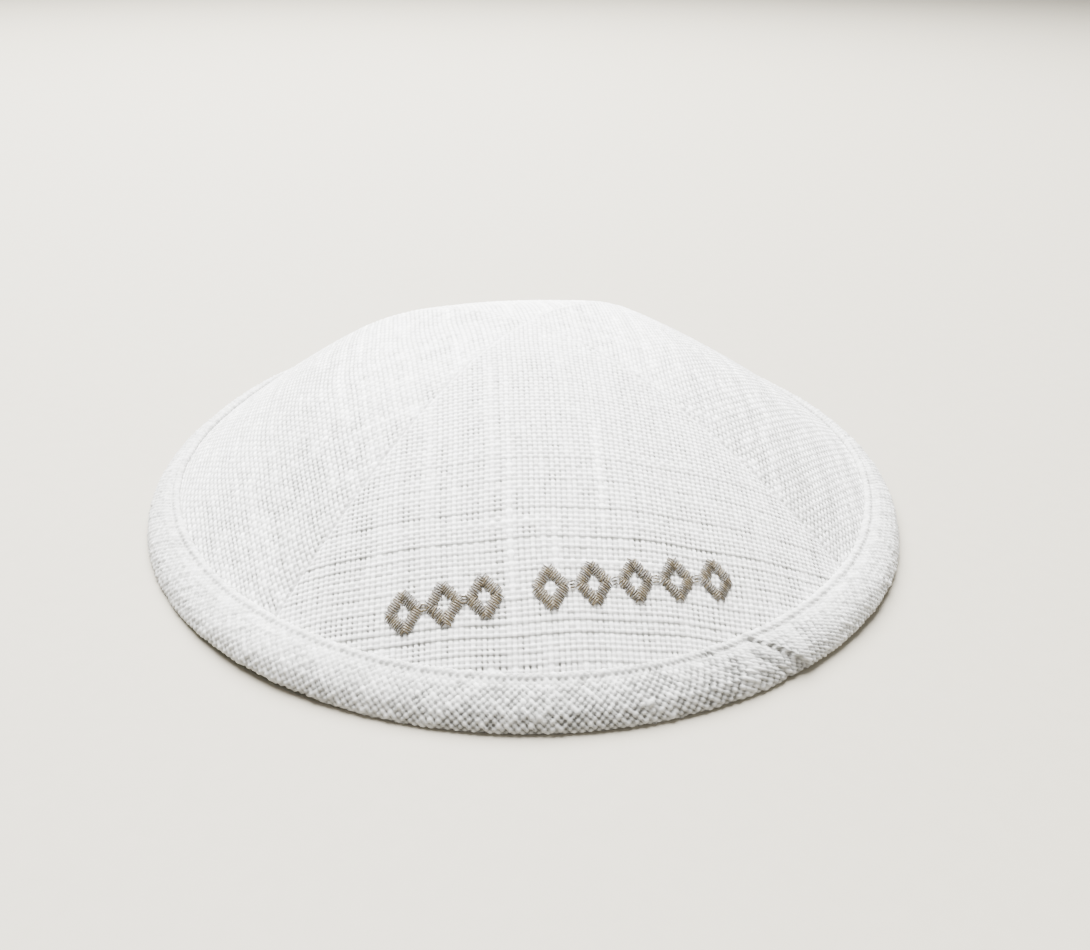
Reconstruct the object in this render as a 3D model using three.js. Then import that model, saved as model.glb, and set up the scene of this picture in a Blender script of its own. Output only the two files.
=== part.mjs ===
// A round linen skullcap: four sewn crown panels held at their lower edge by a folded bias hem band.
// Millimetres, +Z up. The origin is on the table, under the middle of the crown.
// The middle of the front panel faces -Y, so the four seams run down to the 45 degree corners.
import * as THREE from "three";

// Crown
const CROWN_HEIGHT = 37.3; // table to the top of the crown
const CROWN_ROUNDNESS = 1.71; // power of the crown's fall, 2 would be a parabola
const CLOTH_WALL = 1.2; // the cloth of a panel with its turnings pressed flat
const FRONT_SEAM_RISE = 0.6; // how far the two front seams stand out as a ridge
const BACK_SEAM_RISE = 2.1; // the same at the two back seams
const BACK_FULLNESS = 0.7; // how much fuller the crown is at the middle of the back than at the front
const SEAM_DIP = 0.35; // how deep a panel's edge rolls into its seam
const SEAM_ROLL = 0.94; // share of a panel's half width past which its edge rolls in
const TIP_RADIUS = 0.7; // where a panel's point ends, beside the top of the crown
const SEAM_GAP = 0.3; // clearance between neighbouring pieces

// Hem band
const RIM_RADIUS = 80.2; // outermost reach of the band's rolled fold
const BAND_WIDTH = 9.0; // from the fold up to the stitched lip, along the slope
const BAND_SLOPE = 26.6; // slope of the band at the front, in degrees from level
const BAND_TILT = 14; // how many degrees steeper it stands at the sides and the back
const TILT_START = 0.85; // the tilt sets in where the rim is this share of its reach in front of the middle
const SIDE_DRAW = 0.9; // how far the rim is drawn in at its two sides
const BAND_WALL = 0.8; // each leg of the folded band
const BAND_PUFF = 0.45; // how far the outer leg swells between its fold and its stitching
const LIP_RISE = 0.35; // height of the rolled lip over the stitched groove
const FOLD_RADIUS = 1.1; // radius of the rolled fold at the rim
const FOOT_DEPTH = 0.2; // how much of the fold is pressed flat where it rests
const TUCK_DEPTH = 5.6; // how far the panels reach down into the band
const RIM_LIFT = 0.9; // height of the rim over the table at each seam
const RIM_SPREAD = 0.4; // how far each corner of the rim reaches past the round

// The join of the band's two ends, a diagonal lap on the front right
const JOIN_ANGLE = 24.1; // from the middle of the front, at mid width, in degrees
const JOIN_LAP = 0.55; // height of the folded end that lies on top
const JOIN_FADE = 11; // degrees over which that height fades out

// Mesh density
const PANEL_COLUMNS = 18;
const COLUMN_CROWDING = 1.25; // power that draws a row's points towards the seams
const BAND_COLUMNS = 96;
const FOLD_STEPS = 5;
const RUN_STEP = 0.005; // share of the crown over which the direction of its cloth is taken

// Rows of a panel from its point down to the lip. reach is the share of the way from the middle of the
// crown to the lip, columns the share of PANEL_COLUMNS that the row has room for.
const PANEL_ROWS = [
  { reach: 0.06, columns: 0.34 },
  { reach: 0.13, columns: 0.56 },
  { reach: 0.21, columns: 1 },
  { reach: 0.31, columns: 1 },
  { reach: 0.42, columns: 1 },
  { reach: 0.53, columns: 1 },
  { reach: 0.64, columns: 1 },
  { reach: 0.75, columns: 1 },
  { reach: 0.85, columns: 1 },
  { reach: 0.93, columns: 1 },
  { reach: 1.0, columns: 1 },
];

// Outer face of the hem band from the lip down to the fold. along is a share of BAND_WIDTH from the
// fold, puff a share of BAND_PUFF and lip a share of LIP_RISE.
const BAND_FACE = [
  { along: 1.0, puff: 0, lip: -0.7 },
  { along: 0.985, puff: 0, lip: 0.65 },
  { along: 0.95, puff: 0, lip: 1 },
  { along: 0.89, puff: 0, lip: 0.75 },
  { along: 0.82, puff: 0, lip: 0 },
  { along: 0.7, puff: 0.7, lip: 0 },
  { along: 0.52, puff: 1, lip: 0 },
  { along: 0.34, puff: 0.8, lip: 0 },
  { along: 0.21, puff: 0.1, lip: 0 },
];

// Inner face of the hem band, as shares of its width from the flat foot by the fold up to its end
// inside the cap.
const INNER_START = 0.2;
const INNER_MIDDLE = 0.6;
const INNER_END = 0.93;
const INNER_CREST = 0.96; // the rounded top of the inner leg
const MOUTH_SHARE = 0.98; // where the slot opens behind the lip

// The fold, as degrees either side of the slope
const FOLD_TURN = 70;

const QUARTER = Math.PI / 2;
const FRONT = -QUARTER;

const linen = { color: 0xeeeeec, roughness: 0.95, metalness: 0 };

// How near an azimuth is to a seam: 0 at the middle of a panel, 1 at a seam.
function seamShare(azimuth) {
  const turns = (azimuth - FRONT) / QUARTER;
  return Math.abs(turns - Math.round(turns)) * 2;
}

// The share of the lift and spread of the rim: none over a panel's middle half, all of it at a seam.
function cornerShare(azimuth) {
  const nearness = seamShare(azimuth) - 0.5;
  return nearness > 0 ? Math.sin(Math.PI * nearness) ** 2 : 0;
}

// How far the crown swells, halfway down it, at an azimuth.
function swell(azimuth) {
  const rise = Math.sin(azimuth) < 0 ? FRONT_SEAM_RISE : BACK_SEAM_RISE;
  const backward = 0.5 + 0.5 * Math.sin(azimuth);
  return rise * seamShare(azimuth) ** 2 + BACK_FULLNESS * backward;
}

// The slope of the band at an azimuth, in radians: steeper at the sides and the back.
function slopeAt(azimuth) {
  const share = THREE.MathUtils.smoothstep(Math.sin(azimuth), -TILT_START, 0);
  return THREE.MathUtils.degToRad(BAND_SLOPE + BAND_TILT * share);
}

// Section of the band in the plane of an azimuth: along runs up the slope from the fold, stand runs out
// from the outer face of the crown's cloth. The fold's middle sets where the section stands.
const foldStand = -CLOTH_WALL / 2;
const foldUp = FOLD_RADIUS - FOOT_DEPTH;

function sectionPoint(along, stand, azimuth) {
  const slope = slopeAt(azimuth);
  const foldOut = RIM_RADIUS - FOLD_RADIUS - SIDE_DRAW * Math.cos(azimuth) ** 2;
  const inward = along - FOLD_RADIUS;
  const outward = stand - foldStand;
  const out = foldOut - inward * Math.cos(slope) + outward * Math.sin(slope);
  const up = foldUp + inward * Math.sin(slope) + outward * Math.cos(slope);
  return { out, up: Math.max(up, 0) };
}

// A point of a section, spread and lifted as the rim is at its azimuth.
function settle(section, azimuth) {
  const corner = cornerShare(azimuth);
  const out = section.out + RIM_SPREAD * corner * (section.out / RIM_RADIUS) ** 2;
  const up = section.up + RIM_LIFT * corner * (section.out / RIM_RADIUS) ** 3;
  return new THREE.Vector3(out * Math.cos(azimuth), out * Math.sin(azimuth), up);
}

// The crown's outer face in the plane of an azimuth. reach is 0 at the top and 1 at the lip, and below
// the lip the cloth runs straight down the slope into the band by tuck millimetres.
function crownSection(reach, tuck, azimuth) {
  const lipPoint = sectionPoint(BAND_WIDTH, 0, azimuth);
  if (tuck > 0) return sectionPoint(BAND_WIDTH - tuck, 0, azimuth);
  const fall = 1 - reach ** CROWN_ROUNDNESS;
  const swollen = swell(azimuth) * Math.sin(Math.PI * reach);
  return {
    out: lipPoint.out * reach,
    up: lipPoint.up + (CROWN_HEIGHT - lipPoint.up) * fall + swollen,
  };
}

// The direction of the cloth down the slope, within the plane of an azimuth.
function crownRun(reach, tuck, azimuth) {
  const above = crownSection(Math.max(reach - RUN_STEP, 0), 0, azimuth);
  const below = crownSection(Math.min(reach + RUN_STEP, 1), 0, azimuth);
  const run = new THREE.Vector2(below.out - above.out, below.up - above.up).normalize();
  const slope = slopeAt(azimuth);
  const tucked = new THREE.Vector2(Math.cos(slope), -Math.sin(slope));
  if (tuck > 0) return tucked;
  return reach < 1 ? run : run.add(tucked).normalize();
}

// A point of the crown moved inwards by depth, square to the cloth.
function crownPoint(reach, tuck, azimuth, depth) {
  const here = crownSection(reach, tuck, azimuth);
  const run = crownRun(reach, tuck, azimuth);
  return settle({ out: here.out + run.y * depth, up: here.up - run.x * depth }, azimuth);
}

// A list of triangles that grows into one closed mesh.
function newShell() {
  return { positions: [] };
}

function addTriangle(shell, a, b, c) {
  for (const corner of [a, b, c]) shell.positions.push(corner.x, corner.y, corner.z);
}

function addQuad(shell, a, b, c, d) {
  addTriangle(shell, a, b, c);
  addTriangle(shell, a, c, d);
}

function meshOf(shell, name) {
  const geometry = new THREE.BufferGeometry();
  geometry.setAttribute("position", new THREE.Float32BufferAttribute(shell.positions, 3));
  geometry.computeVertexNormals();
  const mesh = new THREE.Mesh(geometry, new THREE.MeshStandardMaterial(linen));
  mesh.name = name;
  return mesh;
}

// The strip between two rows of points whose counts may differ. Each point has a share from -1 to 1
// across the row, and the row that lags behind steps on. flip turns the faces round.
function addStrip(shell, upper, lower, flip) {
  let i = 0;
  let j = 0;
  while (i < upper.length - 1 || j < lower.length - 1) {
    const upperNext = i < upper.length - 1 ? upper[i + 1].share : Infinity;
    const lowerNext = j < lower.length - 1 ? lower[j + 1].share : Infinity;
    const stepUpper = upperNext < lowerNext;
    const apex = stepUpper ? upper[i + 1].point : lower[j + 1].point;
    const corners = [upper[i].point, lower[j].point, apex];
    if (flip) corners.reverse();
    addTriangle(shell, ...corners);
    if (stepUpper) i += 1;
    else j += 1;
  }
}

// One row of a panel, at a depth below the outer face: closer together near the two seams, where the
// cloth rolls in, except at the lip and in the band, which hold it flat.
function panelRow(middle, row, depth) {
  const half = QUARTER / 2 - SEAM_GAP / 2 / crownSection(row.reach, row.tuck, middle).out;
  const count = Math.max(2, Math.round(PANEL_COLUMNS * row.columns));
  return Array.from({ length: count + 1 }, (_, k) => {
    const even = (2 * k) / count - 1;
    const share = Math.sign(even) * (1 - (1 - Math.abs(even)) ** COLUMN_CROWDING);
    const roll = Math.max(0, (Math.abs(share) - SEAM_ROLL) / (1 - SEAM_ROLL));
    const dip = SEAM_DIP * roll * (1 - row.reach ** 6);
    return { share, point: crownPoint(row.reach, row.tuck, middle + half * share, depth + dip) };
  });
}

function crownPanel(name, middle) {
  const tip = { reach: TIP_RADIUS / sectionPoint(BAND_WIDTH, 0, middle).out, tuck: 0, columns: 0.12 };
  const rows = [tip, ...PANEL_ROWS.map((row) => ({ ...row, tuck: 0 }))];
  for (const share of [0.5, 1]) rows.push({ reach: 1, tuck: TUCK_DEPTH * share, columns: 1 });
  const outer = rows.map((row) => panelRow(middle, row, 0));
  const inner = rows.map((row) => panelRow(middle, row, CLOTH_WALL));
  const shell = newShell();
  for (let k = 0; k < rows.length - 1; k += 1) {
    addStrip(shell, outer[k], outer[k + 1], false);
    addStrip(shell, inner[k], inner[k + 1], true);
    const [a, b, c, d] = [outer[k], outer[k + 1], inner[k + 1], inner[k]];
    addQuad(shell, a.at(0).point, d.at(0).point, c.at(0).point, b.at(0).point);
    addQuad(shell, a.at(-1).point, b.at(-1).point, c.at(-1).point, d.at(-1).point);
  }
  const first = outer[0].map((p, k) => [p.point, inner[0][k].point]);
  const last = outer.at(-1).map((p, k) => [p.point, inner.at(-1)[k].point]);
  for (let k = 0; k < first.length - 1; k += 1) {
    addQuad(shell, first[k][0], first[k + 1][0], first[k + 1][1], first[k][1]);
  }
  for (let k = 0; k < last.length - 1; k += 1) {
    addQuad(shell, last[k][0], last[k][1], last[k + 1][1], last[k + 1][0]);
  }
  return meshOf(shell, name);
}

// The closed section of the band, in order from the lip down the outer face, round the fold, up the
// inner face and through the slot that holds the panels. lap says how much of the join's height a
// point takes.
function bandSection() {
  const innerStand = -CLOTH_WALL - SEAM_GAP - BAND_WALL;
  const slotOut = SEAM_GAP;
  const slotIn = -CLOTH_WALL - SEAM_GAP;
  const slotFloor = BAND_WIDTH - TUCK_DEPTH - SEAM_GAP;
  const points = BAND_FACE.map((row) => ({
    along: row.along * BAND_WIDTH,
    stand: SEAM_GAP + BAND_WALL + row.puff * BAND_PUFF + row.lip * LIP_RISE,
    lap: 1,
  }));
  for (let k = 0; k <= FOLD_STEPS; k += 1) {
    const turn = THREE.MathUtils.degToRad(FOLD_TURN - (2 * FOLD_TURN * k) / FOLD_STEPS);
    points.push({
      along: FOLD_RADIUS - FOLD_RADIUS * Math.cos(turn),
      stand: foldStand + FOLD_RADIUS * Math.sin(turn),
      lap: 1 - k / FOLD_STEPS,
    });
  }
  points.push({ along: INNER_START * BAND_WIDTH, stand: innerStand, lap: 0 });
  points.push({ along: INNER_MIDDLE * BAND_WIDTH, stand: innerStand, lap: 0 });
  points.push({ along: INNER_END * BAND_WIDTH, stand: innerStand, lap: 0 });
  points.push({ along: INNER_CREST * BAND_WIDTH, stand: (innerStand + slotIn) / 2, lap: 0 });
  points.push({ along: INNER_END * BAND_WIDTH, stand: slotIn, lap: 0 });
  points.push({ along: slotFloor, stand: slotIn, lap: 0 });
  points.push({ along: slotFloor, stand: slotOut, lap: 0 });
  points.push({ along: MOUTH_SHARE * BAND_WIDTH, stand: slotOut, lap: 0 });
  return points;
}

// Height of the folded end over the band, at so many degrees past the join.
function lapHeight(past) {
  if (past < 0 || past > JOIN_FADE) return 0;
  return JOIN_LAP * (1 - past / JOIN_FADE) ** 2;
}

// Azimuths of the band's columns, in degrees from the join. Two more columns make the step of the lap.
function bandColumns() {
  const step = 360 / BAND_COLUMNS;
  const angles = Array.from({ length: BAND_COLUMNS - 1 }, (_, k) => (k + 1) * step);
  return [0, 0.5 * step, ...angles, 360 - 0.12 * step];
}

function hemBand() {
  const section = bandSection();
  const rimLean = THREE.MathUtils.radToDeg(BAND_WIDTH / RIM_RADIUS);
  const columns = bandColumns().map((past) => {
    const near = Math.min(past, 360 - past);
    const leaning = rimLean * Math.exp(-((near / (1.2 * JOIN_FADE)) ** 2));
    return section.map(({ along, stand, lap }) => {
      const lean = leaning * (0.5 - along / BAND_WIDTH);
      const azimuth = FRONT + THREE.MathUtils.degToRad(JOIN_ANGLE + past + lean);
      return settle(sectionPoint(along, stand + lap * lapHeight(past), azimuth), azimuth);
    });
  });
  const shell = newShell();
  columns.forEach((column, k) => {
    const next = columns[(k + 1) % columns.length];
    column.forEach((point, row) => {
      const below = (row + 1) % column.length;
      addQuad(shell, point, column[below], next[below], next[row]);
    });
  });
  return meshOf(shell, "hem_band");
}

const skullcap = new THREE.Group();
["front_panel", "right_panel", "back_panel", "left_panel"].forEach((name, k) => {
  skullcap.add(crownPanel(name, FRONT + k * QUARTER));
});
skullcap.add(hemBand());

export default skullcap;
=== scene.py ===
import math
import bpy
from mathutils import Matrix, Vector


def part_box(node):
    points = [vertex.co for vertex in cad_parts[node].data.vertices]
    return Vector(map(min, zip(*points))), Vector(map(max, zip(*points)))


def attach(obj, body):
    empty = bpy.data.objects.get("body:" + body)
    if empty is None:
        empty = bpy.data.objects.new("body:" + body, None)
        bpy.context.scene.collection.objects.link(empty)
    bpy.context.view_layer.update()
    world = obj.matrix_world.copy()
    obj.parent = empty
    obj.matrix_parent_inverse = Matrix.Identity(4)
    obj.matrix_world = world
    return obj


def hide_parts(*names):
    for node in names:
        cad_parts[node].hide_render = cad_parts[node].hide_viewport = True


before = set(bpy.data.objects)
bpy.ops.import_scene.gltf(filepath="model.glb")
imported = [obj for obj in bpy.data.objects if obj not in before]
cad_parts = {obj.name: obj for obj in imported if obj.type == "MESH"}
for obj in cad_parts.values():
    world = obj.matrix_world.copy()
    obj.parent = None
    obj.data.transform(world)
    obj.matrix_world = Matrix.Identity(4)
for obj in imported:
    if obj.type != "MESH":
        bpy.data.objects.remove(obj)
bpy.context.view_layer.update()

from types import SimpleNamespace

import bpy
import numpy as np
from mathutils import Matrix, Vector

bpy.ops.object.select_all(action="DESELECT")

# Sizes are in millimetres here and become metres when a mesh is made.
MM = 0.001

# Sizes of the cap, the same as the solids have. The first two are read from the frame, where the
# band's box reaches 0.1 past RIM_RADIUS.
RIM_RADIUS = -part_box("hem_band")[0][1] / MM - 0.1
CROWN_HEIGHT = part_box("front_panel")[1][2] / MM
CROWN_ROUNDNESS = 1.71
FRONT_SEAM_RISE = 0.6
BACK_SEAM_RISE = 2.1
BACK_FULLNESS = 0.7
CLOTH_WALL = 1.2
BAND_WIDTH = 9.0
BAND_SLOPE = 26.6
BAND_TILT = 14
TILT_START = 0.85
SIDE_DRAW = 0.9
FOLD_RADIUS = 1.1
FOOT_DEPTH = 0.2
SEAM_GAP = 0.3
RIM_LIFT = 0.9
RIM_SPREAD = 0.4
JOIN_ANGLE = math.radians(24.1)
JOIN_LAP = 0.55
JOIN_FADE = math.radians(11)

# The cloth: a slubby linen in plain weave.
WARP_PITCH = 0.939  # threads that run from the top of a panel to its lip
WEFT_PITCH = 0.90  # threads that run across it
YARN_COVER = 0.99  # width of a thread as a share of its pitch
YARN_RISE = 0.27  # half the thickness of a thread
OTHER_PITCH = 0.99  # both of them on the other three panels, where the cloth is pulled wider
CRIMP = (0.12, 0.2)  # how far the warp and the weft swing up and down over each other
PORE = -0.3  # depth of the hole between four threads
# tone given to a hole between threads: lower than the threads' usual, it adds a little to the painted shade
# there
PORE_TONE = 0.4
GAP_SHADE = 0.38  # painted shade: how much darker the cloth is drawn where two threads stand apart
GAP_FULL = 0.32  # by how many pitches they stand apart for the full shade
SINK = 0.4  # how far the middle of the cloth lies below its highest threads
FINE = 4  # points a thread in a panel's outer face
FLAT_RELIEF = 0.85  # depth that stands for cloth whose threads don't show, from 0 in a hole to 1 on top
PRESSED = 0.7  # how nearly it has that depth where it is pressed flat, at a seam or in the band's groove

# Camera, fitted to the photo: it stands in front, a little to the left, and looks down at 29 degrees.
CAMERA_DISTANCE = 222.8
CAMERA_DOWN = 0.5108
CAMERA_ASIDE = math.radians(9.26)
CAMERA_YAW = -0.0191
CAMERA_PITCH = 0.0051
CAMERA_ROLL = -0.0088
PHOTO_WIDTH = 1090
FOCAL_PIXELS = 998.0


def add_camera():
    data = bpy.data.cameras.new("camera")
    data.sensor_width = 36
    data.lens = FOCAL_PIXELS / PHOTO_WIDTH * data.sensor_width
    data.clip_start = 0.01
    camera = bpy.data.objects.new("camera", data)
    bpy.context.collection.objects.link(camera)
    away = Vector((0, -math.cos(CAMERA_DOWN), math.sin(CAMERA_DOWN)))
    ahead = -away
    right = Vector((1, 0, 0))
    up = right.cross(ahead)
    ahead = Matrix.Rotation(CAMERA_YAW, 3, up) @ ahead
    right = Matrix.Rotation(CAMERA_YAW, 3, up) @ right
    ahead, up = (Matrix.Rotation(CAMERA_PITCH, 3, right) @ v for v in (ahead, up))
    right, up = (Matrix.Rotation(CAMERA_ROLL, 3, ahead) @ v for v in (right, up))
    turn = Matrix.Rotation(-CAMERA_ASIDE, 4, "Z")
    axes = Matrix((right, up, -ahead)).transposed().to_4x4()
    camera.matrix_world = turn @ Matrix.Translation(away * CAMERA_DISTANCE * MM) @ axes
    bpy.context.scene.camera = camera


add_camera()


# Shape of the crown and the band
def slope_at(azimuth):
    """The slope of the band at an azimuth: steeper at the sides and the back."""
    share = np.clip(np.sin(azimuth) / TILT_START + 1, 0, 1)
    return np.radians(BAND_SLOPE + BAND_TILT * share * share * (3 - 2 * share))


def section_point(along, stand, azimuth):
    """Out and up of a point of the band's section: along runs up the slope from the fold, stand runs
    out from the outer face of the crown's cloth."""
    slope = slope_at(azimuth)
    fold_out = RIM_RADIUS - FOLD_RADIUS - SIDE_DRAW * np.cos(azimuth) ** 2
    inward, outward = along - FOLD_RADIUS, stand + CLOTH_WALL / 2
    out = fold_out - inward * np.cos(slope) + outward * np.sin(slope)
    up = FOLD_RADIUS - FOOT_DEPTH + inward * np.sin(slope) + outward * np.cos(slope)
    return out, np.maximum(up, 0)


def seam_share(azimuth):
    """0 at the middle of a panel, 1 at a seam."""
    turns = (azimuth + math.pi / 2) / (math.pi / 2)
    return np.abs(turns - np.round(turns)) * 2


def settle(out, up, azimuth):
    """A point of a section, spread and lifted as the rim is at its azimuth."""
    corner = np.sin(np.pi * np.maximum(seam_share(azimuth) - 0.5, 0)) ** 2
    reach = out / RIM_RADIUS
    out = out + RIM_SPREAD * corner * reach**2
    up = up + RIM_LIFT * corner * reach**3
    return np.stack([out * np.cos(azimuth), out * np.sin(azimuth), up], -1)


def crown_point(x, y):
    """The outer face of the crown over a point of the plan."""
    out = np.hypot(x, y)
    azimuth = np.arctan2(y, x)
    lip_out, lip_up = section_point(BAND_WIDTH, 0, azimuth)
    reach = np.minimum(out / lip_out, 1)
    rise = np.where(y < 0, FRONT_SEAM_RISE, BACK_SEAM_RISE) * seam_share(azimuth) ** 2
    rise = rise + BACK_FULLNESS * (0.5 + 0.5 * np.sin(azimuth))
    up = lip_up + (CROWN_HEIGHT - lip_up) * (1 - reach**CROWN_ROUNDNESS) + rise * np.sin(np.pi * reach)
    tucked = section_point(BAND_WIDTH - (out - lip_out) / np.cos(slope_at(azimuth)), 0, azimuth)[1]
    return settle(out, np.where(out > lip_out, tucked, up), azimuth)


def crown_normal(x, y):
    """The crown's outward direction over a point of the plan."""
    step = 0.25
    across = crown_point(x + step, y) - crown_point(x - step, y)
    down = crown_point(x, y + step) - crown_point(x, y - step)
    normal = np.cross(across, down)
    return normal / np.linalg.norm(normal, axis=-1, keepdims=True)


# Meshes
def add_mesh(name, points, quads, triangles, uv=None, layers=None):
    """A new object from arrays: points in millimetres, a UV in millimetres for each point, and layers,
    named numbers for each point that the materials read."""
    mesh = bpy.data.meshes.new(name)
    faces = [np.asarray(f, dtype=np.int32).reshape(-1, n) for f, n in ((quads, 4), (triangles, 3))]
    corners = np.concatenate([f.ravel() for f in faces])
    sizes = np.concatenate([np.full(len(f), f.shape[1], dtype=np.int32) for f in faces])
    starts = np.concatenate([[0], np.cumsum(sizes)[:-1]]).astype(np.int32)
    mesh.vertices.add(len(points))
    mesh.vertices.foreach_set("co", (np.asarray(points) * MM).astype(np.float32).ravel())
    mesh.loops.add(len(corners))
    mesh.loops.foreach_set("vertex_index", corners)
    mesh.polygons.add(len(sizes))
    mesh.polygons.foreach_set("loop_start", starts)
    mesh.polygons.foreach_set("use_smooth", np.ones(len(sizes), dtype=bool))
    mesh.update(calc_edges=True)
    if uv is not None:
        layer = mesh.uv_layers.new(name="cloth")
        layer.uv.foreach_set("vector", (uv * MM)[corners].astype(np.float32).ravel())
    for key, values in (layers or {}).items():
        mesh.attributes.new(key, "FLOAT", "POINT").data.foreach_set("value", values.astype(np.float32))
    mesh.validate()
    piece = bpy.data.objects.new(name, mesh)
    bpy.context.collection.objects.link(piece)
    return piece


def zip_rows(upper, lower):
    """Triangles between two rows of (index, place) whose counts differ: the row that lags steps on."""
    triangles = []
    i = j = 0
    while i < len(upper) - 1 or j < len(lower) - 1:
        next_upper = upper[i + 1][1] if i < len(upper) - 1 else math.inf
        next_lower = lower[j + 1][1] if j < len(lower) - 1 else math.inf
        if next_upper < next_lower:
            triangles.append((upper[i][0], lower[j][0], upper[i + 1][0]))
            i += 1
        else:
            triangles.append((upper[i][0], lower[j][0], lower[j + 1][0]))
            j += 1
    return triangles


# Weave
class Yarns:
    """The threads of one direction: each has its own fatness and tone, which change along it, and a few
    have slubs, listed as rows of (thread, where along it, length, fatness)."""

    STEP = 2.5  # threads between two values of the variation
    FAT_SPREAD = (0.07, 0.09)  # how far the fatness varies from thread to thread, and along a thread
    TONE_SPREAD = (0.18, 0.2)
    TONE = 0.6

    def __init__(self, draw, count, slubs=(), gaps=(), rough=1.0):
        self.half = count // 2
        self.fat = 1 + rough * self.vary(draw, count, self.FAT_SPREAD)
        self.tone = self.TONE + self.vary(draw, count, self.TONE_SPREAD)
        self.slubs = slubs
        self.slack = np.zeros(count)
        for thread, extra in gaps:
            self.slack[thread + self.half] = extra

    def vary(self, draw, count, spread):
        knots = int(count / self.STEP) + 3
        of_thread, along_it = (draw.standard_normal((count, n)) for n in (1, knots))
        return spread[0] * of_thread + spread[1] * along_it

    def read(self, table, thread, along):
        place = (along + self.half) / self.STEP
        knot = np.clip(np.floor(place).astype(int), 0, table.shape[1] - 2)
        share = np.clip(place - knot, 0, 1)
        share = share * share * (3 - 2 * share)
        row = np.clip(thread + self.half, 0, len(table) - 1)
        return table[row, knot] * (1 - share) + table[row, knot + 1] * share

    def fatness(self, thread, along):
        fat = self.read(self.fat, thread, along)
        for number, middle, length, gain in self.slubs:
            near = (thread == number) * np.exp(-(((along - middle) / (0.5 * length)) ** 4))
            fat = fat + gain * near
        return fat


def weave(u, v, warp, weft, crimps, thread_shades, cover=YARN_COVER):
    """Height of the cloth's surface at u and v, counted in threads, with the depth into it from 0 in a
    hole to 1 on top, lowered by painted shade in open rows and by direction, the tone of the thread there,
    and 1 where a thread along v lies on top. The argument after the crimps is the painted shade on the
    threads of each direction."""
    height = np.full(u.shape, PORE)
    tone = np.full(u.shape, PORE_TONE)
    is_warp = np.zeros(u.shape)
    openness = np.zeros(u.shape)
    shade = np.zeros(u.shape)
    for side, (across, along, yarns) in enumerate(((u, v, warp), (v, u, weft))):
        for step in (-1, 0, 1):
            thread = np.floor(across).astype(int) + step
            fat = yarns.fatness(thread, along)
            slack = yarns.slack[np.clip(thread + yarns.half, 0, len(yarns.slack) - 1)]
            place = 1 - (1 - across + thread) * (1 + slack)
            off = (place - 0.5) / (0.5 * cover * fat)
            if step == 0:
                # The painted shade of an open row comes in patches, which follow the tone of its thread.
                patch = np.clip(1.9 * yarns.read(yarns.tone, thread, along) - 0.35, 0.15, 1)
                openness += patch * np.clip(-place / GAP_FULL, 0, 1)
            swing = np.where(thread % 2 == side, 1, -1) * np.sin(np.pi * along)
            top = crimps[side] * swing + YARN_RISE * fat * np.sqrt(np.clip(1 - off**2, 0, None))
            wins = (np.abs(off) < 1) & (top > height)
            height = np.where(wins, top, height)
            tone = np.where(wins, yarns.read(yarns.tone, thread, along), tone)
            is_warp = np.where(wins, 1.0 - side, is_warp)
            shade = np.where(wins, thread_shades[side], shade)
    relief = np.clip((height - PORE) / (max(CRIMP) + YARN_RISE - PORE), 0, 1)
    return height, relief * (1 - GAP_SHADE * np.clip(openness, 0, 1)) * (1 - shade), tone, is_warp


def waves(along, aside, table, phases):
    """How far threads waver at a place. A row of the table is the height of a wave and its lengths along
    and aside."""
    return sum(
        height * np.sin(along / length + phase + aside / side_length)
        for (height, length, side_length), phase in zip(table, phases)
    )


def uneven(draw, count, amount, gaps=()):
    """Places of so many threads, in pitches: each spacing differs a little, and gaps widen some."""
    spacing = 1 + amount * draw.standard_normal(count)
    for thread, extra in gaps:
        spacing[thread + count // 2] += extra
    places = np.concatenate([[0], np.cumsum(spacing)])
    places -= places[count // 2]
    return lambda at: np.interp(at, np.arange(count + 1) - count // 2, places)


# Crown panels
SEAM_ROLL = 0.12  # radius with which a panel's edge rolls into its seam
SEAM_SLIT = 0.01  # half the slit that is left between two panels
FIRST_ROW = 0.12  # place of the row of points at the top of the crown, in steps of the lattice
ROW_CLEAR = 0.05  # the last row of points lies at least so far inside the panel's lower edge
END_CLEAR = 0.06  # and the lattice's points so far from the ends of a row
ROW_REACH = 90  # how far aside of the grain's middle a row is looked for, in millimetres and in threads
SEARCH_STEP = 0.25
SPINE_POINTS = 600  # points at which a panel's length is measured, and the width of each row
ROW_POINTS = 161
PANEL_THREADS = 240  # threads of each direction that are drawn for a panel
WARP_UNEVEN = 0.05  # how far the spacings of the threads vary
WEFT_UNEVEN = 0.045
FRONT_ROUGH = 0.65  # how much the threads' fatness varies, as a share of the usual
OTHER_ROUGH = 1.2
# The weft bows as if drawn on a ball of this diameter, in plan.
GRAIN_BOW = {"front_panel": 200.0, "right_panel": 145.0, "back_panel": 150.0, "left_panel": 145.0}
# By how many degrees the grain is turned off a panel's middle.
GRAIN_TURN = {"front_panel": -6.2, "right_panel": -5.0, "back_panel": 0, "left_panel": 0}
# Painted shade on the threads that run from side to side of the cap, across the light from behind: the warp
# on the side panels, and the weft on the others.
WARP_SHADE = {"left_panel": 0.26, "right_panel": 0.34}
WEFT_SHADE = {"front_panel": 0.12, "back_panel": 0.12}
# The painted shade on the warp is weaker near the top of the crown, and grows from there.
TOP_THREADS = 45  # so many threads down the shade is full
TOP_SHADE = 0.4  # and this share of it is there at the top
# Waves of the threads' wavering: how high, how long, and how long from thread to thread.
WEFT_WAVES = [(0.16, 7, 19), (0.1, 3.1, 8)]
WARP_WAVES = [(0.14, 8, 17), (0.08, 3.7, 9)]
SEAM_HOLD = 6  # so near a seam the wavering begins to fade
SEAM_EDGE = 0.6  # so near a seam the cloth is pressed flat
TUCK = 2.6  # how far a panel's cloth runs on under the lip

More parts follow.
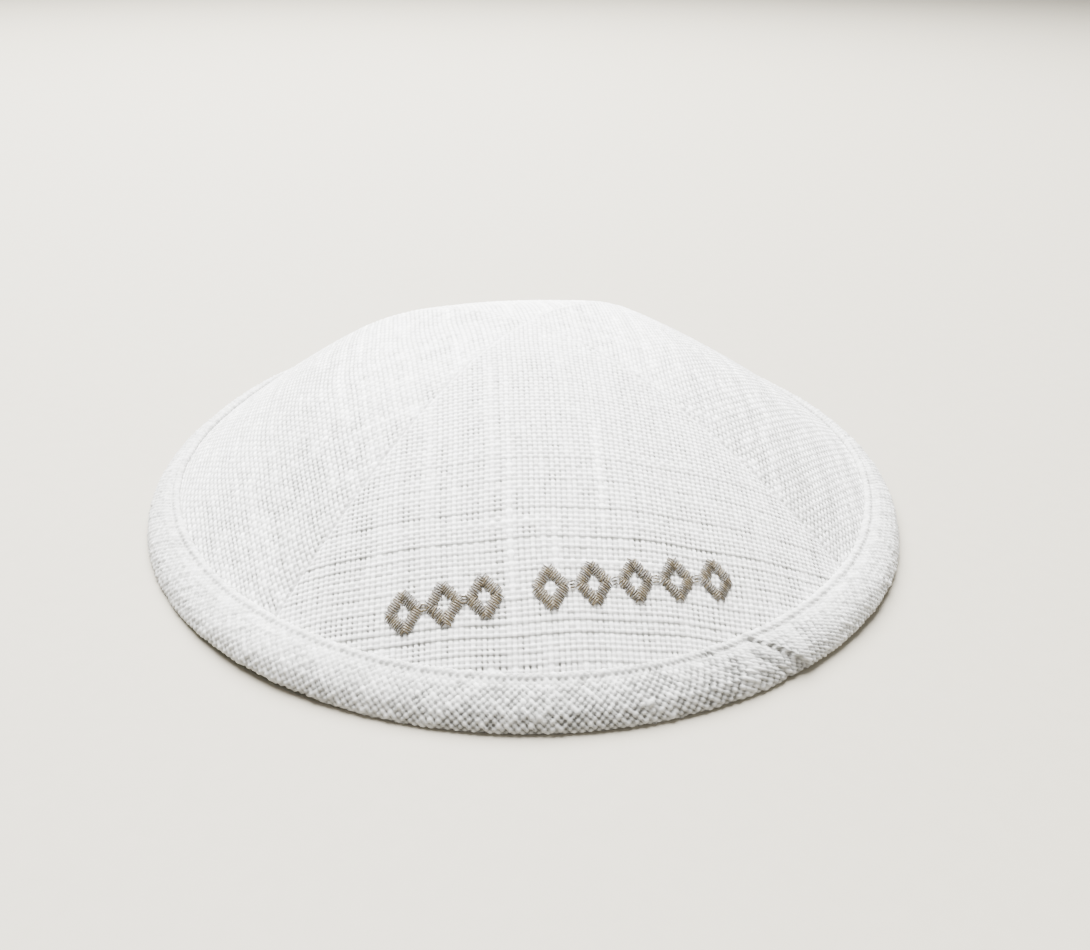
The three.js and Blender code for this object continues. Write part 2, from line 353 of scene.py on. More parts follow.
# Slubs by panel, in threads: which, where along it, how long, how much fatter. Warp is counted from the
# panel's middle and weft from the top of the crown.
SLUBS = {
    "front_panel": {
        "warp": [
            (-21, 40, 36, 0.3),
            (-9, 30, 40, 0.35),
            (-6, 60, 30, 0.22),
            (2, 68, 20, 0.3),
            (11, 48, 26, 0.3),
        ],
        "weft": [(58, -6, 16, 0.25), (66, 14, 22, 0.3), (75, -18, 14, 0.25)],
    },
    "left_panel": {"warp": [(8, 66, 3, 0.55), (-14, 40, 22, 0.3)], "weft": [(40, 4, 20, 0.25)]},
    "right_panel": {"warp": [(-24, 34, 14, 0.5), (6, 50, 24, 0.3)], "weft": [(52, -10, 16, 0.3)]},
    "back_panel": {"warp": [(4, 40, 30, 0.3), (-16, 60, 18, 0.35)], "weft": [(47, 8, 20, 0.3)]},
}
# Rows where the weft stands apart: threads from the top of the crown, and by how many pitches.
OPEN_ROWS = [
    (45, 0.12), (50, 0.14), (56, 0.26), (62, 0.42), (64, 0.26), (66, 0.14), (68, 0.2),
    (70, 0.2), (73, 0.2), (76, 0.26), (77, 0.34), (79, 0.3), (82, 0.22), (84, 0.34),
]
PANEL_EDGE = section_point(BAND_WIDTH - TUCK, 0, -math.pi / 2)[0]


def inside_panel(x, y):
    """How far a point of a panel's plan lies inside the panel's outline: below 0 outside it."""
    return np.minimum((-y - np.abs(x)) / math.sqrt(2), PANEL_EDGE - np.hypot(x, y))


def turned(x, y, angle):
    """A point of the plan turned about the top of the crown."""
    cos, sin = math.cos(angle), math.sin(angle)
    return x * cos - y * sin, x * sin + y * cos


def row_ends(out, grain, bow):
    """The two ends of the weft row that crosses the grain's middle line out millimetres down."""
    across = np.arange(-ROW_REACH, ROW_REACH + 0.01, SEARCH_STEP)
    room = inside_panel(*turned(across, -out * (1 - (across / bow) ** 2), grain))
    within = np.nonzero(room > 0)[0]
    if len(within) == 0:
        return None
    ends = []
    for last, step in ((within[0], -1), (within[-1], 1)):
        share = room[last] / (room[last] - room[last + step])
        ends.append(across[last] + step * SEARCH_STEP * share)
    return ends


def panel_rows(turn, grain, bow, pitches, warp_at, weft_at, fine):
    """The rows of points of a panel from its point to under the lip, in the plan of its grain, with u and
    v in threads. A row's two ends lie on the panel's outline and its other points on the threads'
    lattice. The grain is turned a little off the middle of the panel."""
    outs = np.linspace(0, PANEL_EDGE, SPINE_POINTS)
    spine = crown_point(*turned(0, -outs, turn + grain))
    lengths = np.concatenate([[0], np.cumsum(np.linalg.norm(np.diff(spine, axis=0), axis=1))])
    rows = []
    warp_pitch, weft_pitch = pitches
    reach = np.arange(-ROW_REACH * fine, ROW_REACH * fine + 1)
    places = warp_at(reach / fine) * warp_pitch
    for number in range(int(lengths[-1] / weft_pitch * fine) + 2):
        v = max(number, FIRST_ROW) / fine
        length = weft_at(v) * weft_pitch
        if length > lengths[-1] - ROW_CLEAR:
            break
        out = np.interp(length, lengths, outs)
        ends = row_ends(out, grain, bow)
        if ends is None:
            continue
        across = np.linspace(*ends, ROW_POINTS)
        line = crown_point(*turned(across, -out * (1 - (across / bow) ** 2), turn + grain))
        run = np.concatenate([[0], np.cumsum(np.linalg.norm(np.diff(line, axis=0), axis=1))])
        run -= np.interp(0, across, run)
        keep = (places > run[0] + END_CLEAR) & (places < run[-1] - END_CLEAR)
        kept = np.concatenate([[run[0]], places[keep], [run[-1]]])
        x = np.interp(kept, run, across)
        rows.append(
            SimpleNamespace(
                columns=reach[keep],
                x=x,
                y=-out * (1 - (x / bow) ** 2),
                u=np.interp(kept, places, reach / fine),
                v=np.full(len(kept), v),
                uv=np.stack([kept, np.full(len(kept), length)], -1),
            )
        )
    return rows


def row_faces(rows):
    """Quads where two rows share columns, and triangles at their ends. Also gives each row's start."""
    starts = np.concatenate([[0], np.cumsum([len(row.x) for row in rows])]).astype(int)
    quads, triangles = [], []
    for k in range(len(rows) - 1):
        a, b = rows[k], rows[k + 1]
        start_a, start_b = starts[k], starts[k + 1]
        listed_a = [(start_a + n, a.x[n]) for n in range(len(a.x))]
        listed_b = [(start_b + n, b.x[n]) for n in range(len(b.x))]
        low = max(a.columns[0], b.columns[0]) if len(a.columns) and len(b.columns) else 1
        high = min(a.columns[-1], b.columns[-1]) if len(a.columns) and len(b.columns) else 0
        if high <= low:
            triangles += zip_rows(listed_a, listed_b)
            continue
        in_a, in_b = low - a.columns[0] + 1, low - b.columns[0] + 1
        shared = np.arange(high - low)
        first_a, first_b = start_a + in_a + shared, start_b + in_b + shared
        quads.append(np.stack([first_a, first_b, first_b + 1, first_a + 1], -1))
        end_a, end_b = in_a + high - low, in_b + high - low
        triangles += zip_rows(listed_a[: in_a + 1], listed_b[: in_b + 1])
        triangles += zip_rows(listed_a[end_a:], listed_b[end_b:])
    return np.concatenate(quads), np.array(triangles), starts


def close_panel(outer_rows, starts, inner_rows, inner_starts):
    """Triangles from the outer face to the inner one along the four sides of a panel."""
    closing = []
    for side in (0, 1):
        fine = [(starts[k + side] - side, row.v[0]) for k, row in enumerate(outer_rows)]
        coarse = [(inner_starts[k + side] - side, row.v[0]) for k, row in enumerate(inner_rows)]
        strip = zip_rows(fine, coarse)
        closing += [t[::-1] for t in strip] if side == 0 else strip
    for end in (0, -1):
        listed = []
        for rows, firsts in ((outer_rows, starts), (inner_rows, inner_starts)):
            first = firsts[0] if end == 0 else firsts[-2]
            listed.append([(first + n, x) for n, x in enumerate(rows[end].x)])
        strip = zip_rows(*listed)
        closing += strip if end == -1 else [t[::-1] for t in strip]
    return np.array(closing)


def crown_panel(name, turn, seed):
    """A crown panel in real weave on the outside, with a plain inner face, closed along its edges."""
    draw = np.random.default_rng(seed)
    grain = math.radians(GRAIN_TURN[name])
    gaps = OPEN_ROWS if name == "front_panel" else ()
    warp_at = uneven(draw, PANEL_THREADS, WARP_UNEVEN)
    weft_at = uneven(draw, PANEL_THREADS, WEFT_UNEVEN, gaps)
    rough = FRONT_ROUGH if name == "front_panel" else OTHER_ROUGH
    warp = Yarns(draw, PANEL_THREADS, SLUBS[name]["warp"], rough=rough)
    weft = Yarns(draw, PANEL_THREADS, SLUBS[name]["weft"], gaps, rough)
    phases = draw.uniform(0, 2 * math.pi, 4)
    # All four panels are cut the same way round, so the cloth's warp runs across the two side panels.
    crimps = CRIMP[::-1] if name in WARP_SHADE else CRIMP
    pitches = (WARP_PITCH, WEFT_PITCH) if name == "front_panel" else (OTHER_PITCH, OTHER_PITCH)
    bow = GRAIN_BOW[name]

    def to_seam(x, y):
        """How far a place in the plan of the grain lies from the nearer seam, and its place in the panel."""
        x, y = turned(x, y, grain)
        return (-y - np.abs(x)) / math.sqrt(2), x, y

    def lay(rows, depth, woven):
        """Points of a face, with their UV and layers, depth millimetres under the outer face."""
        keys = ("x", "y", "u", "v", "uv")
        x, y, u, v, uv = (np.concatenate([getattr(row, key) for row in rows]) for key in keys)
        # The threads waver a little, less towards the seams, which hold them.
        held = np.clip(to_seam(x, y)[0] / SEAM_HOLD, 0, 1)
        y = y + held * waves(x, y, WEFT_WAVES, phases[:2])
        x = x + held * waves(y, x, WARP_WAVES, phases[2:])
        edge, x, y = to_seam(x, y)
        edge = np.clip(edge, 0, None)
        inward = np.minimum(edge, SEAM_SLIT) - SEAM_SLIT
        place = turned(x + np.sign(x) * inward, y + inward, turn)
        roll = SEAM_ROLL - np.sqrt(SEAM_ROLL**2 - np.clip(SEAM_ROLL - edge, 0, SEAM_ROLL) ** 2)
        warp_shade = WARP_SHADE.get(name, 0) * np.clip(v / TOP_THREADS, TOP_SHADE, 1)
        shades = (warp_shade, WEFT_SHADE.get(name, 0))
        height, relief, tone, is_warp = weave(u, v, warp, weft, crimps, shades)
        if woven:
            lift = height * np.clip(edge / 0.3, 0.25, 1) - SINK
            relief = relief + (FLAT_RELIEF - relief) * PRESSED * np.clip(1 - edge / SEAM_EDGE, 0, 1)
        else:
            lift = 0
            relief = np.full(u.shape, FLAT_RELIEF)
        points = crown_point(*place) + crown_normal(*place) * (lift - depth - roll)[:, None]
        return points, uv, {"relief": relief, "tone": tone, "is_warp": is_warp}

    outer_rows = panel_rows(turn, grain, bow, pitches, warp_at, weft_at, FINE)
    inner_rows = panel_rows(turn, grain, bow, pitches, warp_at, weft_at, 1)
    outer, outer_uv, outer_layers = lay(outer_rows, 0, True)
    inner, inner_uv, inner_layers = lay(inner_rows, CLOTH_WALL, False)
    quads, triangles, starts = row_faces(outer_rows)
    inner_quads, inner_triangles, inner_starts = row_faces(inner_rows)
    base = len(outer)
    closing = close_panel(outer_rows, starts, inner_rows, inner_starts + base)
    triangles = np.concatenate([triangles, inner_triangles[:, ::-1] + base, closing])
    quads = np.concatenate([quads, inner_quads[:, ::-1] + base])
    layers = {key: np.concatenate([outer_layers[key], inner_layers[key]]) for key in outer_layers}
    points, uv = np.concatenate([outer, inner]), np.concatenate([outer_uv, inner_uv])
    return add_mesh(name + "_linen", points, quads, triangles, uv, layers)


# Hem band
BIAS_PITCH = 0.88  # its threads run at 45 degrees
FINE_BAND = 5  # points along the rim over one crossing of the bias weave
ROW_SPREAD = 1.12  # by how much farther apart they lie across the band
BAND_THREADS = 1200  # threads of each direction that are drawn for the band
BAND_REPEAT = 728  # after so many of them they come again
BAND_ROUGH = 1.5  # how much their fatness varies, as a share of the usual
BAND_SLUBS = ([(160, 100, 9, 0.4), (210, 150, 8, 0.5)], [(90, 60, 8, 0.5)])
BAND_CRIMP = (0.18, 0.24)
BAND_SHADE = 0.1  # painted shade on the weft
BAND_COVER = 1.05
BAND_RELIEF = 1.3  # how much rounder its threads stand than the crown's
BAND_SINK = 0.32  # how far the middle of its cloth lies below its highest threads
BAND_MIDDLE = 3.5  # how far in from the rim its middle line lies, at about half its width
BAND_HOLE_SHADE = 0.85  # painted shade in the cloth's holes and on thread flanks all round, as a share of their depth
FRONT_HOLE_SHADE = 0.95  # how much is added to that in the middle of the front, which faces away from the light
FRONT_REACH = 0.13  # and how far to the sides that reaches, in 1 less the cosine of the angle
GROOVE_WIDTH = 1.1
JOIN_SHADE = 0.15
JOIN_DEPTH = 0.36
CREASE_SHADE = 0.22
CREASE_DEPTH = 0.3
CREASE_WIDTH = 0.7
BAND_WALL = 0.8
BAND_PUFF = 0.45
LIP_RISE = 0.35
LIP_RUN = 2.3  # from the start of the band's outer face, under the lip, to the groove below the lip
RIM_RUN = 3.0  # and to where the lapped join begins to show
CREASE_BEFORE = 4.2  # how far before the join a crease runs beside it
SLOT_IN = -CLOTH_WALL - 0.25  # inner and outer side of the slot that holds the crown's edge
SLOT_OUT = 0.12
HIDDEN = 0.6  # what the layers hold on the band's hidden faces
HIDDEN_STEP = 1.5  # width of each of their strips in the UV

# Outer face of the band from under its lip to under its fold: along is a share of BAND_WIDTH from the
# fold, puff a share of BAND_PUFF and lip a share of LIP_RISE.
BAND_FACE = [
    (0.965, 0, -3.9),
    (0.995, 0, -3.1),
    (1.01, 0, -2.0),
    (0.998, 0, -0.9),
    (0.965, 0, -0.35),
    (0.925, 0, -0.35),
    (0.89, 0, -0.6),
    (0.855, 0, -0.6),
    (0.8, 0.2, -0.35),
    (0.7, 0.7, 0),
    (0.52, 1.0, 0),
    (0.34, 0.8, 0),
    (0.21, 0.1, 0),
]


def smooth_line(points, spacing):
    """A smooth curve through points, cut to even steps of about spacing."""
    points = np.asarray(points, dtype=float)
    padded = np.vstack([2 * points[0] - points[1], points, 2 * points[-1] - points[-2]])
    pieces = []
    for k in range(1, len(padded) - 2):
        a, b, c, d = padded[k - 1 : k + 3]
        t = np.linspace(0, 1, 24, endpoint=False)[:, None]
        curved = (2 * a - 5 * b + 4 * c - d) * t**2 + (3 * b - a - 3 * c + d) * t**3
        pieces.append(0.5 * (2 * b + (c - a) * t + curved))
    line = np.vstack([*pieces, points[-1:]])
    run = np.concatenate([[0], np.cumsum(np.linalg.norm(np.diff(line, axis=0), axis=1))])
    steps = np.linspace(0, run[-1], max(2, round(run[-1] / spacing)) + 1)
    return np.stack([np.interp(steps, run, line[:, k]) for k in (0, 1)], -1), steps


def band_section(spacing):
    """The band's section: its fine outer face from under the lip to under the fold, the run along that,
    and the few points of its inner face and of its slot."""
    outer_stand, inner_stand = SEAM_GAP + BAND_WALL, -CLOTH_WALL - SEAM_GAP - BAND_WALL
    face = [(a * BAND_WIDTH, outer_stand + puff * BAND_PUFF + lip * LIP_RISE) for a, puff, lip in BAND_FACE]
    for turn in np.radians(np.linspace(70, -70, 6)):
        face.append((FOLD_RADIUS * (1 - math.cos(turn)), FOLD_RADIUS * math.sin(turn) - CLOTH_WALL / 2))
    line, run = smooth_line(face, spacing)
    inner = [(a, inner_stand) for a in (0.28, 0.45, 0.6, 0.78, 0.92)] + [(0.955, inner_stand + SEAM_GAP)]
    slot = [(0.94, SLOT_IN), (0.66, SLOT_IN), (0.42, SLOT_IN), (0.42, SLOT_OUT), (0.9, SLOT_OUT)]
    hidden = np.array([(a * BAND_WIDTH, stand) for a, stand in inner + slot])
    return line, run, hidden


def band_cloth(around, width, before, azimuth):
    """How far the bias weave stands out at places along and across the strip, and its layers. before is
    how far along the join lies ahead."""
    draw = np.random.default_rng(71)
    warp, weft = (Yarns(draw, BAND_THREADS, slubs, rough=BAND_ROUGH) for slubs in BAND_SLUBS)
    waver = 0.12 * np.sin(around / 6.1 + width / 3) + 0.1 * np.sin(around / 2.3)
    u, v = ((around + way * width + waver) / math.sqrt(2) / BIAS_PITCH % BAND_REPEAT for way in (1, -1))
    height, relief, tone, is_warp = weave(u, v, warp, weft, BAND_CRIMP, (0, BAND_SHADE), BAND_COVER)
    groove = np.exp(-(((width - LIP_RUN) / GROOVE_WIDTH) ** 2))
    relief = relief + (FLAT_RELIEF - relief) * PRESSED * groove
    # Painted shade in the holes and on thread flanks, deeper in the middle of the front, which faces away
    # from the light.
    shade_gain = BAND_HOLE_SHADE + FRONT_HOLE_SHADE * np.exp(-(1 + np.sin(azimuth)) / FRONT_REACH)
    relief = np.clip(1 - (1 - relief) * shade_gain, 0, 1)
    # Before the join the end beneath is drawn in, with a painted shadow from the end on top, and a crease
    # beside it with painted shade in it.
    by_rim = np.clip((width - RIM_RUN) / 4, 0.1, 1)
    crease = np.exp(-(((before - CREASE_BEFORE) / CREASE_WIDTH) ** 2)) * np.clip((width - RIM_RUN) / 3, 0, 1)
    relief = relief * (1 - JOIN_SHADE * by_rim * np.exp(-before / 0.9)) * (1 - CREASE_SHADE * crease)
    height = height - CREASE_DEPTH * crease - JOIN_DEPTH * by_rim * np.exp(-before / 1.2)
    held = np.clip(width, 0.15, 1)
    return (BAND_RELIEF * height - BAND_SINK) * held, {"relief": relief, "tone": tone, "is_warp": is_warp}


def band_faces(columns, rows, hidden_columns, hidden_rows):
    """Quads of the fine face and of the hidden ones, and triangles that join these along both edges."""
    fine = np.arange(columns * rows).reshape(columns, rows)
    hidden = fine.size + np.arange(hidden_columns * hidden_rows).reshape(hidden_columns, hidden_rows)
    quads = []
    for points in (fine, hidden):
        after = np.roll(points, -1, axis=0)
        corners = (points[:, :-1], points[:, 1:], after[:, 1:], after[:, :-1])
        quads.append(np.stack(corners, -1).reshape(-1, 4))
    triangles = []
    half = FINE_BAND // 2 + 1
    for k in range(hidden_columns):
        low, high = hidden[k], hidden[(k + 1) % hidden_columns]
        near = [fine[(k * FINE_BAND + n) % columns] for n in range(FINE_BAND + 1)]
        for n in range(FINE_BAND):
            pivot = low if n < half else high
            triangles.append((near[n][-1], pivot[0], near[n + 1][-1]))
            triangles.append((near[n + 1][0], pivot[-1], near[n][0]))
        triangles.append((near[half][-1], low[0], high[0]))
        triangles.append((near[half][0], high[-1], low[-1]))
    return np.concatenate(quads), np.array(triangles)


def hem_band():
    """The folded bias strip round the rim, in real weave outside. It starts and ends at the join, where
    its start laps over its end."""
    crossing = BIAS_PITCH * math.sqrt(2)
    middle = RIM_RADIUS - BAND_MIDDLE
    columns = round(2 * math.pi * middle / crossing) * FINE_BAND
    line, run, hidden_line = band_section(ROW_SPREAD * crossing / FINE_BAND)
    past = np.arange(columns) * 2 * math.pi / columns
    lap = np.where(past < JOIN_FADE, JOIN_LAP * (1 - past / JOIN_FADE) ** 2, 0)
    near = np.minimum(past, 2 * math.pi - past)
    leaning = BAND_WIDTH / RIM_RADIUS * np.exp(-((near / (1.2 * JOIN_FADE)) ** 2))

    def place(section, chosen, lap_share):
        """Points of a section at the chosen columns, with their azimuths."""
        along = section[None, :, 0]
        stand = section[None, :, 1] + lap[chosen, None] * lap_share
        lean = leaning[chosen, None] * (0.5 - along / BAND_WIDTH)
        azimuth = -math.pi / 2 + JOIN_ANGLE + past[chosen, None] + lean
        out, up = section_point(along, stand, azimuth)
        return settle(out, up, azimuth), azimuth

    base, azimuth = place(line, np.arange(columns), np.clip((run[-1] - run) / 1.2, 0, 1)[None, :])
    across = np.roll(base, -1, axis=0) - np.roll(base, 1, axis=0)
    normal = np.cross(np.gradient(base, axis=1), across)
    normal /= np.linalg.norm(normal, axis=-1, keepdims=True)
    around, width = np.broadcast_arrays((past * middle)[:, None], run[None, :])
    before = ((2 * math.pi - past) * middle)[:, None]
    lift, layers = band_cloth(around, width, before, azimuth)
    fine = base + normal * lift[..., None]
    fine[..., 2] = np.maximum(fine[..., 2], 0)
    chosen = np.arange(0, columns, FINE_BAND)
    hidden = place(hidden_line, chosen, 0)[0]
    quads, triangles = band_faces(*fine.shape[:2], *hidden.shape[:2])
    hidden_run = run[-1] + np.arange(len(hidden_line)) * HIDDEN_STEP
    hidden_uv = np.stack(np.broadcast_arrays((past[chosen] * middle)[:, None], hidden_run[None, :]), -1)
    uv = np.concatenate([np.stack([around, width], -1).reshape(-1, 2), hidden_uv.reshape(-1, 2)])
    plain = np.full(len(chosen) * len(hidden_line), HIDDEN)
    layers = {key: np.concatenate([values.ravel(), plain]) for key, values in layers.items()}
    points = np.concatenate([fine.reshape(-1, 3), hidden.reshape(-1, 3)])
    return add_mesh("hem_band_linen", points, quads, triangles, uv, layers)


# Stitched motif: two chains of lozenges joined by dots, on the lower front panel
MOTIF_DOWN = 60.0  # plan distance of the chains' middle line from the top of the crown
MOTIF_BOW = 180.0  # they bow as if drawn on a ball of this diameter, in plan
CHAINS = [(-29.6, 3, 6.6), (-5.5, 5, 7.2)]  # middle of the first lozenge, how many, and their pitch
LOZENGE_HALF_WIDTH = 2.35
LOZENGE_HALF_HEIGHT = 2.7
DOT_WIDTH = 1.0
DOT_HALF_HEIGHT = 0.45
STROKE = 1.85
STITCH_PITCH = 0.36
STITCH_THICK = 0.34
STITCH_FLATNESS = 0.8  # its thickness as a share of its width
STITCH_FOOT = 0.05  # how far the ends of a stitch lie over the cloth
STITCH_RISE = 0.26  # how much farther its middle does
STITCH_UNROLL = 0.18  # radius by which it is unrolled in the UV
STITCH_SIDES = 6
STITCH_STEPS = 6


def motif_stitches():
    """Start and end of each stitch, in the plan of the front panel, and its tone."""
    draw = np.random.default_rng(33)
    stitches = []

    def satin(start, end, width):
        start, end = np.array(start), np.array(end)
        run = end - start
        length = np.linalg.norm(run)
        side = np.array([-run[1], run[0]]) / length
        count = max(2, round(length / STITCH_PITCH))
        for k in range(count + 1):
            middle = start + run * k / count
            reach = 0.5 * width * (1 + 0.07 * draw.standard_normal())
            slant = run / length * 0.07 * draw.standard_normal()
            half = side * reach + slant
            stitches.append((middle - half, middle + half, draw.uniform()))

    w, h = LOZENGE_HALF_WIDTH, LOZENGE_HALF_HEIGHT
    for first, count, pitch in CHAINS:
        for k in range(count):
            x = first + k * pitch
            corners = [(x, h), (x + w, 0), (x, -h), (x - w, 0)]
            for a, b in zip(corners, corners[1:] + corners[:1]):
                satin(a, b, STROKE)
            if k < count - 1:
                satin((x + pitch / 2, -DOT_HALF_HEIGHT), (x + pitch / 2, DOT_HALF_HEIGHT), DOT_WIDTH)
    return stitches


def stitched_motif():
    """The motif's stitches, each a flattened tube that arches over the cloth."""
    points, quads, triangles, tones, uvs = [], [], [], [], []
    share = np.linspace(0, 1, STITCH_STEPS + 1)
    ring = np.linspace(0, 2 * np.pi, STITCH_SIDES, endpoint=False)
    thick = STITCH_THICK / 2 * (0.55 + 0.45 * np.sin(np.pi * np.clip(share, 0.08, 0.92)))
    count = len(share) * STITCH_SIDES
    for start, end, tone in motif_stitches():
        flat = start + (end - start) * share[:, None]
        x = flat[:, 0]
        y = -(MOTIF_DOWN - flat[:, 1]) * (1 - (x / MOTIF_BOW) ** 2)
        normal = crown_normal(x, y)
        bulge = STITCH_FOOT + STITCH_RISE * np.sin(np.pi * share) ** 0.7
        spine = crown_point(x, y) + normal * bulge[:, None]
        ahead = np.gradient(spine, axis=0)
        ahead /= np.linalg.norm(ahead, axis=1, keepdims=True)
        side = np.cross(ahead, normal)
        aside = np.cos(ring)[None, :, None] * side[:, None]
        above = STITCH_FLATNESS * np.sin(ring)[None, :, None] * normal[:, None]
        tube = spine[:, None] + thick[:, None, None] * (aside + above)
        index = len(points) * count + np.arange(count).reshape(len(share), STITCH_SIDES)
        points.append(tube.reshape(-1, 3))
        turned_on = np.roll(index, -1, axis=1)
        quads.append(np.stack([index[:-1], turned_on[:-1], turned_on[1:], index[1:]], -1).reshape(-1, 4))
        for cap in (index[0][::-1], index[-1]):
            triangles += [(cap[0], cap[n], cap[n + 1]) for n in range(1, STITCH_SIDES - 1)]
        tones.append(np.full(count, tone))
        along = np.linalg.norm(end - start) * share
        unrolled = np.broadcast_arrays(along[:, None], ring[None] * STITCH_UNROLL)
        uvs.append(np.stack(unrolled, -1).reshape(-1, 2))
    points, quads, uv = (np.concatenate(parts) for parts in (points, quads, uvs))
    layers = {"tone": np.concatenate(tones)}
    return add_mesh("stitched_motif", points, quads, np.array(triangles), uv, layers)


# Materials
def colour(code):
    """An sRGB hex colour as the linear values that a shader takes."""
    parts = [int(code[k : k + 2], 16) / 255 for k in (1, 3, 5)]
    linear = [c / 12.92 if c <= 0.04045 else ((c + 0.055) / 1.055) ** 2.4 for c in parts]
    return (*linear, 1)


def add_node(material, kind, settings=None, links=None):
    """A node of a kind, its settings by property or socket name, and its inputs' links."""
    tree = material.node_tree
    node = tree.nodes.new(kind)
    for name, value in (settings or {}).items():
        if isinstance(name, int) or name in node.inputs:
            node.inputs[name].default_value = value
        else:
            setattr(node, name, value)
    for name, source in (links or {}).items():
        tree.links.new(source, node.inputs[name])
    return node


def new_material(name):
    material = bpy.data.materials.new(name)
    material.use_nodes = True
    material.node_tree.nodes.clear()
    return material


def finish_material(material, settings, links):
    shader = add_node(material, "ShaderNodeBsdfPrincipled", settings, links)
    add_node(material, "ShaderNodeOutputMaterial", None, {"Surface": shader.outputs[0]})
    return material


FIBRES_ACROSS = 5.2  # bundles of fibres in a millimetre, across a thread
FIBRES_ALONG = 0.9  # and along it


# Bleached linen, woven of flax yarn: matt, with threads whose tone differs a little, painted shade in the
# holes between them and on their flanks, and fine fibres, which follow each thread of the crown.
def woven_linen(name, thread, shade, shade_colour):
    material = new_material(name)
    relief, tone, is_warp = (
        add_node(material, "ShaderNodeAttribute", {"attribute_name": key}).outputs["Fac"]
        for key in ("relief", "tone", "is_warp")
    )
    place = add_node(material, "ShaderNodeUVMap", {"uv_map": "cloth"}).outputs["UV"]
    shades = {"data_type": "RGBA", 6: colour(shade), 7: colour(thread)}
    by_tone = add_node(material, "ShaderNodeMix", shades, {0: tone}).outputs[2]
    # Painted shade: where the relief layer is low, in holes, on thread flanks and in shaded places, the
    # colour goes to the shade colour.
    into_shade = add_node(
        material,
        "ShaderNodeMapRange",
        {"interpolation_type": "SMOOTHSTEP", "From Min": 0.36, "From Max": 1.0},
        {"Value": relief},
    ).outputs[0]
    shading = {"data_type": "RGBA", 6: colour(shade_colour)}
    tint = add_node(material, "ShaderNodeMix", shading, {0: into_shade, 7: by_tone}).outputs[2]
    fibres = []
    for counts in ((FIBRES_ACROSS, FIBRES_ALONG), (FIBRES_ALONG, FIBRES_ACROSS)):
        stretch = {"operation": "MULTIPLY", 1: (counts[0] / MM, counts[1] / MM, 1)}
        spot = add_node(material, "ShaderNodeVectorMath", stretch, {0: place}).outputs[0]
        noise = add_node(material, "ShaderNodeTexNoise", {"Scale": 1.0, "Detail": 2.0}, {"Vector": spot})
        fibres.append(noise.outputs["Fac"])
    by_thread = {0: is_warp, 2: fibres[1], 3: fibres[0]}
    grain = add_node(material, "ShaderNodeMix", None, by_thread).outputs[0]
    depth = {"Strength": 0.35, "Distance": 0.12 * MM}
    bump = add_node(material, "ShaderNodeBump", depth, {"Height": grain}).outputs[0]
    settings = {"Roughness": 0.85, "Sheen Weight": 0.12, "Sheen Roughness": 0.5, "Specular IOR Level": 0.25}
    return finish_material(material, settings, {"Base Color": tint, "Normal": bump})


# Rayon embroidery thread, twisted of filaments: softly shiny, taupe, with lighter and darker stitches.
def embroidery_thread():
    material = new_material("rayon_embroidery_thread_taupe")
    tone = add_node(material, "ShaderNodeAttribute", {"attribute_name": "tone"}).outputs["Fac"]
    place = add_node(material, "ShaderNodeUVMap", {"uv_map": "cloth"}).outputs["UV"]
    taupes = {"data_type": "RGBA", 6: colour("#2a210f"), 7: colour("#54472b")}
    tint = add_node(material, "ShaderNodeMix", taupes, {0: tone}).outputs[2]
    turns = {"Scale": 900.0, "Distortion": 1.0, "bands_direction": "DIAGONAL"}
    twist = add_node(material, "ShaderNodeTexWave", turns, {"Vector": place}).outputs["Fac"]
    depth = {"Strength": 0.4, "Distance": 0.06 * MM}
    bump = add_node(material, "ShaderNodeBump", depth, {"Height": twist}).outputs[0]
    settings = {"Roughness": 0.45, "Sheen Weight": 0.2}
    return finish_material(material, settings, {"Base Color": tint, "Normal": bump})


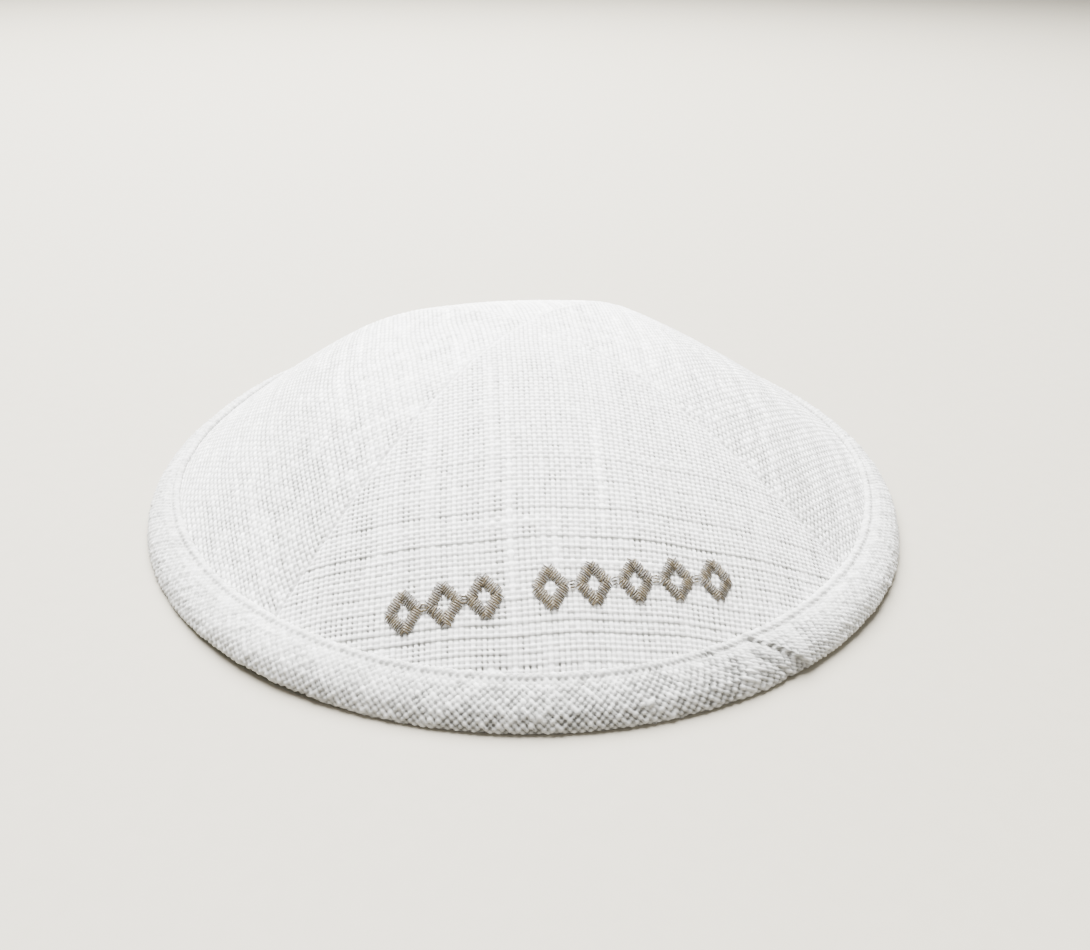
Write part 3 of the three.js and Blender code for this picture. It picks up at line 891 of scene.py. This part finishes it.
# A painted tabletop, matt off-white, with faint speckles about 3 mm wide.
def tabletop():
    material = new_material("matt_off_white_tabletop")
    place = add_node(material, "ShaderNodeTexCoord").outputs["Object"]
    noise = add_node(material, "ShaderNodeTexNoise", {"Scale": 300.0, "Detail": 3.0}, {"Vector": place})
    paints = {"data_type": "RGBA", 6: colour("#8b8679"), 7: colour("#908b7e")}
    tint = add_node(material, "ShaderNodeMix", paints, {0: noise.outputs["Fac"]}).outputs[2]
    return finish_material(material, {"Roughness": 0.7}, {"Base Color": tint})


crown_linen = woven_linen("bleached_linen_plain_weave", "#fdfdfc", "#e0dfde", "#7c7c78")
# The band is the same linen as the crown: its darker colours are painted shade.
shaded_band_linen = woven_linen("bleached_linen_on_the_bias_painted_shade", "#d4d4d2", "#aaaaa7", "#62625f")
taupe_thread = embroidery_thread()

# Pieces
PANELS = ["front_panel", "right_panel", "back_panel", "left_panel"]
for number, node in enumerate(PANELS):
    panel = crown_panel(node, number * math.pi / 2, 11 + number)
    panel.data.materials.append(crown_linen)
    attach(panel, "root")
    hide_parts(node)

band = hem_band()
band.data.materials.append(shaded_band_linen)
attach(band, "root")
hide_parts("hem_band")

motif = stitched_motif()
motif.data.materials.append(taupe_thread)
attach(motif, "root")

# Floor and light, in metres and watts
FLOOR_SIZE = 8
bpy.ops.object.select_all(action="DESELECT")
bpy.ops.mesh.primitive_plane_add(size=FLOOR_SIZE)
floor = bpy.context.active_object
floor.name = "floor"
floor.data.materials.append(tabletop())


def add_light(name, place, target, size, power, tint):
    data = bpy.data.lights.new(name, "AREA")
    data.shape = "DISK"
    data.size = size
    data.energy = power
    data.color = colour(tint)[:3]
    light = bpy.data.objects.new(name, data)
    bpy.context.collection.objects.link(light)
    light.location = place
    light.rotation_euler = (Vector(target) - Vector(place)).to_track_quat("-Z", "Y").to_euler()


add_light("sky_window", (-0.1, 0.8, 1.3), (0, 0, 0), 1.5, 340, "#ffffff")
add_light("room_fill", (0.5, -0.9, 0.8), (0, 0, 0), 1.0, 6, "#fff8f0")

world = bpy.data.worlds.new("soft_studio")
world.use_nodes = True
world.node_tree.nodes["Background"].inputs["Color"].default_value = colour("#f4f3f1")
world.node_tree.nodes["Background"].inputs["Strength"].default_value = 0.5
bpy.context.scene.world = world
